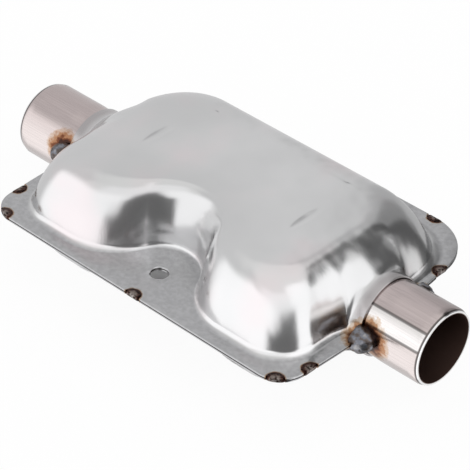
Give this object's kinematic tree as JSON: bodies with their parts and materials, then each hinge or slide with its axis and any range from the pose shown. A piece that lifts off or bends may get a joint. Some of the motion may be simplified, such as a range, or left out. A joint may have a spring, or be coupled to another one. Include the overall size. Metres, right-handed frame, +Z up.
{
  "type": "diesel heater muffler",
  "caption": "Flat stamped steel exhaust muffler with an inlet and an outlet stub on one axis, a welded flange all round and a recessed bolt hole on one side.",
  "frame": {"origin": "on the lower shell's flat bottom, straight below the middle of the pipe axis", "axes": "+Z up, +X along the pipe axis towards the outlet, +Y towards the plain side, away from the bolt hole"},
  "size_m": [0.16, 0.0895, 0.037],
  "materials": {
    "stamped_steel": "polished stainless sheet, lightly scuffed on the flange",
    "pipe_steel": "drawn stainless tube, lengthwise lines, straw heat tint at the welds",
    "inner_steel": "plain mill finish",
    "weld_metal": "dark rippled weld metal with a brown oxide rim"
  },
  "bodies": {
    "root": {"upper_shell": "stamped_steel", "lower_shell": "stamped_steel", "inlet_pipe": "pipe_steel", "outlet_pipe": "pipe_steel", "inlet_baffle": "inner_steel", "outlet_baffle": "inner_steel", "core_tube": "inner_steel", "weld_inlet_near": "weld_metal", "weld_inlet_far": "weld_metal", "weld_outlet_near": "weld_metal", "weld_outlet_far": "weld_metal", "tack_near_inlet": "weld_metal", "tack_near_middle": "weld_metal", "tack_near_outlet": "weld_metal", "tack_outlet_near": "weld_metal", "tack_outlet_far": "weld_metal", "tack_far_outlet": "weld_metal", "tack_far_middle": "weld_metal", "tack_far_inlet": "weld_metal", "tack_inlet_far": "weld_metal", "tack_inlet_near": "weld_metal"}
  },
  "joints": []
}
